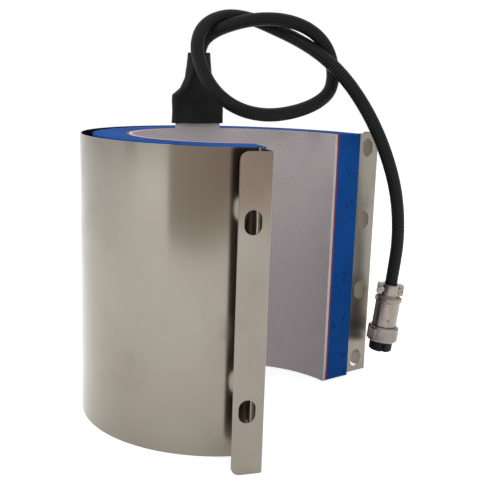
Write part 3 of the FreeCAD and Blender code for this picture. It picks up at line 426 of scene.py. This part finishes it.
class HEATER_OT_sponge(bpy.types.Operator):
    """Make the sponge with its softened edges"""
    bl_idname = "heater.sponge"
    bl_label = "Sponge"

    def execute(self, context):
        settings = context.scene.band_settings
        piece = copy_of("foam_pad", "sponge")
        round_edges(piece, settings.sponge_edge, corner=50, smooth=35)
        finished(piece, sponge_finish(settings))
        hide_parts("foam_pad")
        return {"FINISHED"}


class HEATER_OT_lining(bpy.types.Operator):
    """Finish the mat, its backing and the parts between"""
    bl_idname = "heater.lining"
    bl_label = "Mat and Lining"

    def execute(self, context):
        dress("heater_mat", mat_finish(context.scene.band_settings))
        dress("backing_sheet", plain_finish("red_silicone", (0.20, 0.008, 0.018), 0.6))
        dress("heating_foil", plain_finish("heating_foil", (0.50, 0.44, 0.36), 0.4, metal=1.0))
        dress("temperature_sensor", plain_finish("sensor_capsule", (0.03, 0.03, 0.03), 0.25))
        return {"FINISHED"}


class HEATER_OT_sleeve(bpy.types.Operator):
    """Finish the shrunk sleeve, the leads and the splices inside it"""
    bl_idname = "heater.sleeve"
    bl_label = "Sleeve and Leads"

    def execute(self, context):
        piece = copy_of("heat_shrink_sleeve", "shrunk_sleeve")
        remesh = piece.modifiers.new("Even faces", "REMESH")
        remesh.mode, remesh.voxel_size = "VOXEL", 0.00040
        relax = piece.modifiers.new("Relax", "SMOOTH")
        relax.factor, relax.iterations = 0.5, 7
        crease = bpy.data.textures.new("shrink_folds", "CLOUDS")
        crease.noise_scale, crease.noise_depth = 0.011, 2
        folds = piece.modifiers.new("Folds", "DISPLACE")
        folds.texture, folds.texture_coords = crease, "LOCAL"
        folds.strength, folds.mid_level = 0.0009, 0.5
        for modifier in (remesh, relax, folds):
            bpy.ops.object.modifier_apply(modifier=modifier.name)
        bpy.ops.object.shade_smooth()
        finished(piece, sleeve_finish(context.scene.cable_settings))
        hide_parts("heat_shrink_sleeve")
        dress("lead_wires", plain_finish("lead_insulation", (0.70, 0.68, 0.64), 0.45))
        dress("crimp_splices", plain_finish("tinned_copper", (0.72, 0.71, 0.68), 0.35, metal=1.0))
        return {"FINISHED"}


def cable_line():
    """The smooth centreline: a spline over the route's points, read back as a chain of points."""
    curve = bpy.data.curves.new("cable_route", "CURVE")
    curve.dimensions = "3D"
    curve.resolution_u = 24
    spline = curve.splines.new("NURBS")
    spline.points.add(len(CABLE_ROUTE) - 1)
    for point, place in zip(spline.points, CABLE_ROUTE):
        point.co = (*(value * MM for value in place), 1.0)
    spline.order_u = 3
    spline.use_endpoint_u = True
    holder = bpy.data.objects.new("cable_route", curve)
    bpy.context.scene.collection.objects.link(holder)
    bpy.context.view_layer.update()
    depsgraph = bpy.context.evaluated_depsgraph_get()
    chain = bpy.data.meshes.new_from_object(holder.evaluated_get(depsgraph))
    points = [vertex.co.copy() for vertex in chain.vertices]
    bpy.data.objects.remove(holder)
    bpy.data.meshes.remove(chain)
    return points


def evenly(points, step):
    """Points about a step apart along a chain, with both its ends, and the chain's length."""
    lengths = [0.0]
    for before, after in zip(points, points[1:]):
        lengths.append(lengths[-1] + (after - before).length)
    count = round(lengths[-1] / step)
    spaced, at = [], 0
    for index in range(count + 1):
        goal = lengths[-1] * index / count
        while at < len(points) - 2 and lengths[at + 1] < goal:
            at += 1
        share = (goal - lengths[at]) / (lengths[at + 1] - lengths[at])
        spaced.append(points[at].lerp(points[at + 1], min(1.0, share)))
    return spaced, lengths[-1]


def braided_tube(points, length, settings):
    """The cable's mesh: rings of vertices along the points, raised where the braid crosses."""
    sides, radius, count = settings.sides, settings.diameter / 2, settings.braid_count
    last = len(points) - 1
    shape = bmesh.new()
    patch = shape.loops.layers.uv.new("Braid")
    across = (points[1] - points[0]).orthogonal().normalized()
    rings = []
    for index, point in enumerate(points):
        ahead = (points[min(index + 1, last)] - points[max(index - 1, 0)]).normalized()
        across = (across - ahead * across.dot(ahead)).normalized()
        beside = ahead.cross(across)
        run = length * index / last / settings.braid_length
        ring = []
        for side in range(sides):
            turn = side / sides
            lift = math.sin(math.pi * (run + turn * count))
            lift *= math.sin(math.pi * (run - turn * count))
            reach = radius - BRAID_RELIEF + BRAID_RELIEF * lift
            angle = TURN * turn
            outward = across * math.cos(angle) + beside * math.sin(angle)
            ring.append(shape.verts.new(point + outward * reach))
        rings.append((ring, run))
    for (low, start), (high, end) in zip(rings, rings[1:]):
        for side in range(sides):
            after = (side + 1) % sides
            face = shape.faces.new((low[side], low[after], high[after], high[side]))
            turns = (side, side + 1, side + 1, side)
            for loop, turn, run in zip(face.loops, turns, (start, start, end, end)):
                loop[patch].uv = (run / 2, turn / sides * count / 2)
            face.smooth = True
    shape.faces.new(list(reversed(rings[0][0])))
    shape.faces.new(rings[-1][0])
    mesh = bpy.data.meshes.new("braided_cable")
    shape.to_mesh(mesh)
    shape.free()
    return mesh


class HEATER_OT_cable(bpy.types.Operator):
    """Lay the braided cable along its route"""
    bl_idname = "heater.cable"
    bl_label = "Braided Cable"

    def execute(self, context):
        settings = context.scene.cable_settings
        points, length = evenly(cable_line(), CABLE_STEP)
        piece = bpy.data.objects.new("braided_cable", braided_tube(points, length, settings))
        context.scene.collection.objects.link(piece)
        finished(piece, braid_finish(settings))
        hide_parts("cable")
        return {"FINISHED"}


class HEATER_OT_plug(bpy.types.Operator):
    """Finish the plug's plated shell, ring, insert and contacts"""
    bl_idname = "heater.plug"
    bl_label = "Plug"

    def execute(self, context):
        plate = nickel_finish(context.scene.cable_settings)
        for node, name, edge, body in ROUNDED_PLUG:
            piece = copy_of(node, name)
            round_edges(piece, edge, corner=30, smooth=32)
            finished(piece, plate, body)
            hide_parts(node)
        for name in ("clamp_screws", "lock_screw"):
            dress(name, plate)
        dress("retaining_ring", plain_finish("spring_steel", (0.30, 0.29, 0.28), 0.35, metal=1.0))
        dress("insulator_insert", plain_finish("black_insulator", (0.007, 0.006, 0.008), 0.45,
                                               shine=0.15))
        dress("contact_sockets", plain_finish("contact_brass", (0.80, 0.58, 0.22), 0.25, metal=1.0))
        return {"FINISHED"}


def facing(place, target, axis, up):
    """A matrix at a place, its named axis turned to a target."""
    aim = Vector(target) - Vector(place)
    return Matrix.Translation(place) @ aim.to_track_quat(axis, up).to_matrix().to_4x4()


def lay_floor(context):
    """A pale floor just under the heater; it keeps the shadow and looks white to the eye."""
    bpy.ops.object.select_all(action="DESELECT")
    bpy.ops.mesh.primitive_plane_add(size=12.0, location=(0, 0, CAD_BOX[0][2] - 0.0002))
    floor = context.object
    floor.name = "floor"
    ground = Finish("floor", Roughness=0.9, Specular_IOR_Level=0.0)
    ground.shader.inputs["Base Color"].default_value = (0.80, 0.80, 0.80, 1)
    strength = Value(ground, eye_rays(ground.tree)) * FLOOR_GLOW
    glow = ground.node("ShaderNodeEmission", (1, 1, 1, 1), strength)
    both = ground.node("ShaderNodeAddShader", Value(ground, ground.shader.outputs[0]), glow)
    ground.tree.links.new(both.socket, ground.tree.nodes["Material Output"].inputs["Surface"])
    floor.data.materials.append(ground.material)


def light_sky(scene):
    """A white sky to the eye's rays, and a weaker one as light on the object."""
    world = bpy.data.worlds.new("studio")
    world.use_nodes = True
    scene.world = world
    tree = world.node_tree
    level = tree.nodes.new("ShaderNodeMapRange")
    tree.links.new(eye_rays(tree), level.inputs["Value"])
    level.inputs["To Min"].default_value = SKY_LIGHT
    level.inputs["To Max"].default_value = 1.0
    tree.links.new(level.outputs["Result"], tree.nodes["Background"].inputs["Strength"])
    tree.nodes["Background"].inputs["Color"].default_value = (1, 1, 1, 1)


def stand_card(context, name, place, size, shade):
    """A glowing card that shows only in reflections and gives the round steel its bands."""
    bpy.ops.object.select_all(action="DESELECT")
    bpy.ops.mesh.primitive_plane_add(size=1.0)
    card = context.object
    card.name = name
    card.matrix_world = (facing(place, (0.0, 0.0, place[2]), "Z", "Y")
                         @ Matrix.Diagonal((*size, 1.0, 1.0)))
    card.visible_camera = card.visible_diffuse = card.visible_shadow = False
    paint = Finish(name, Roughness=1.0, Specular_IOR_Level=0.0)
    paint.shader.inputs["Base Color"].default_value = (0.0, 0.0, 0.0, 1.0)
    paint.shader.inputs["Emission Color"].default_value = (*shade, 1.0)
    paint.shader.inputs["Emission Strength"].default_value = 1.0
    card.data.materials.append(paint.material)


def hang_lamp(scene, name, place, size, power, mirrored):
    """A soft lamp aimed at the middle of the heater."""
    lamp = bpy.data.lights.new(name, "AREA")
    lamp.shape, lamp.size, lamp.size_y, lamp.energy = "RECTANGLE", *size, power
    holder = bpy.data.objects.new(name, lamp)
    holder.matrix_world = facing(place, LAMP_AIM, "-Z", "Y")
    holder.visible_glossy = mirrored
    scene.collection.objects.link(holder)


def place_camera(scene):
    lens = bpy.data.cameras.new("camera")
    lens.sensor_width, lens.lens = SENSOR_WIDTH, FOCAL_LENGTH
    camera = bpy.data.objects.new("camera", lens)
    turn = Matrix((CAMERA_RIGHT, CAMERA_UP, -CAMERA_AHEAD)).transposed().to_4x4()
    camera.matrix_world = Matrix.Translation(CAMERA_PLACE) @ turn
    scene.collection.objects.link(camera)
    scene.camera = camera


class HEATER_OT_stage(bpy.types.Operator):
    """Set the pale floor, the soft light and the camera"""
    bl_idname = "heater.stage"
    bl_label = "Stage"

    def execute(self, context):
        lay_floor(context)
        light_sky(context.scene)
        for card in CARDS:
            stand_card(context, *card)
        for lamp in LAMPS:
            hang_lamp(context.scene, *lamp)
        place_camera(context.scene)
        context.scene.view_settings.view_transform = "Standard"
        return {"FINISHED"}


class HEATER_PT_panel(bpy.types.Panel):
    """The heater's sizes, colours and steps"""
    bl_idname = "HEATER_PT_panel"
    bl_label = "Band Heater"
    bl_space_type = "VIEW_3D"
    bl_region_type = "UI"
    bl_category = "Band Heater"

    def draw(self, context):
        scene = context.scene
        for title, settings in (("Band and lining", scene.band_settings),
                                ("Cable and plug", scene.cable_settings)):
            box = self.layout.box()
            box.label(text=title)
            for name in type(settings).__annotations__:
                box.prop(settings, name)
        for step in STEPS:
            self.layout.operator(step.bl_idname)


STEPS = (HEATER_OT_stage, HEATER_OT_plug, HEATER_OT_cable, HEATER_OT_band, HEATER_OT_sponge,
         HEATER_OT_lining, HEATER_OT_sleeve)
CLASSES = (BandSettings, CableSettings, *STEPS, HEATER_PT_panel)


def register():
    for item in CLASSES:
        bpy.utils.register_class(item)
    bpy.types.Scene.band_settings = bpy.props.PointerProperty(type=BandSettings)
    bpy.types.Scene.cable_settings = bpy.props.PointerProperty(type=CableSettings)


def unregister():
    del bpy.types.Scene.cable_settings
    del bpy.types.Scene.band_settings
    for item in reversed(CLASSES):
        bpy.utils.unregister_class(item)


def main():
    register()
    bpy.ops.heater.stage()
    bpy.ops.heater.plug()
    bpy.ops.heater.cable()
    bpy.ops.heater.band()
    bpy.ops.heater.sponge()
    bpy.ops.heater.lining()
    bpy.ops.heater.sleeve()


if __name__ == "__main__":
    main()
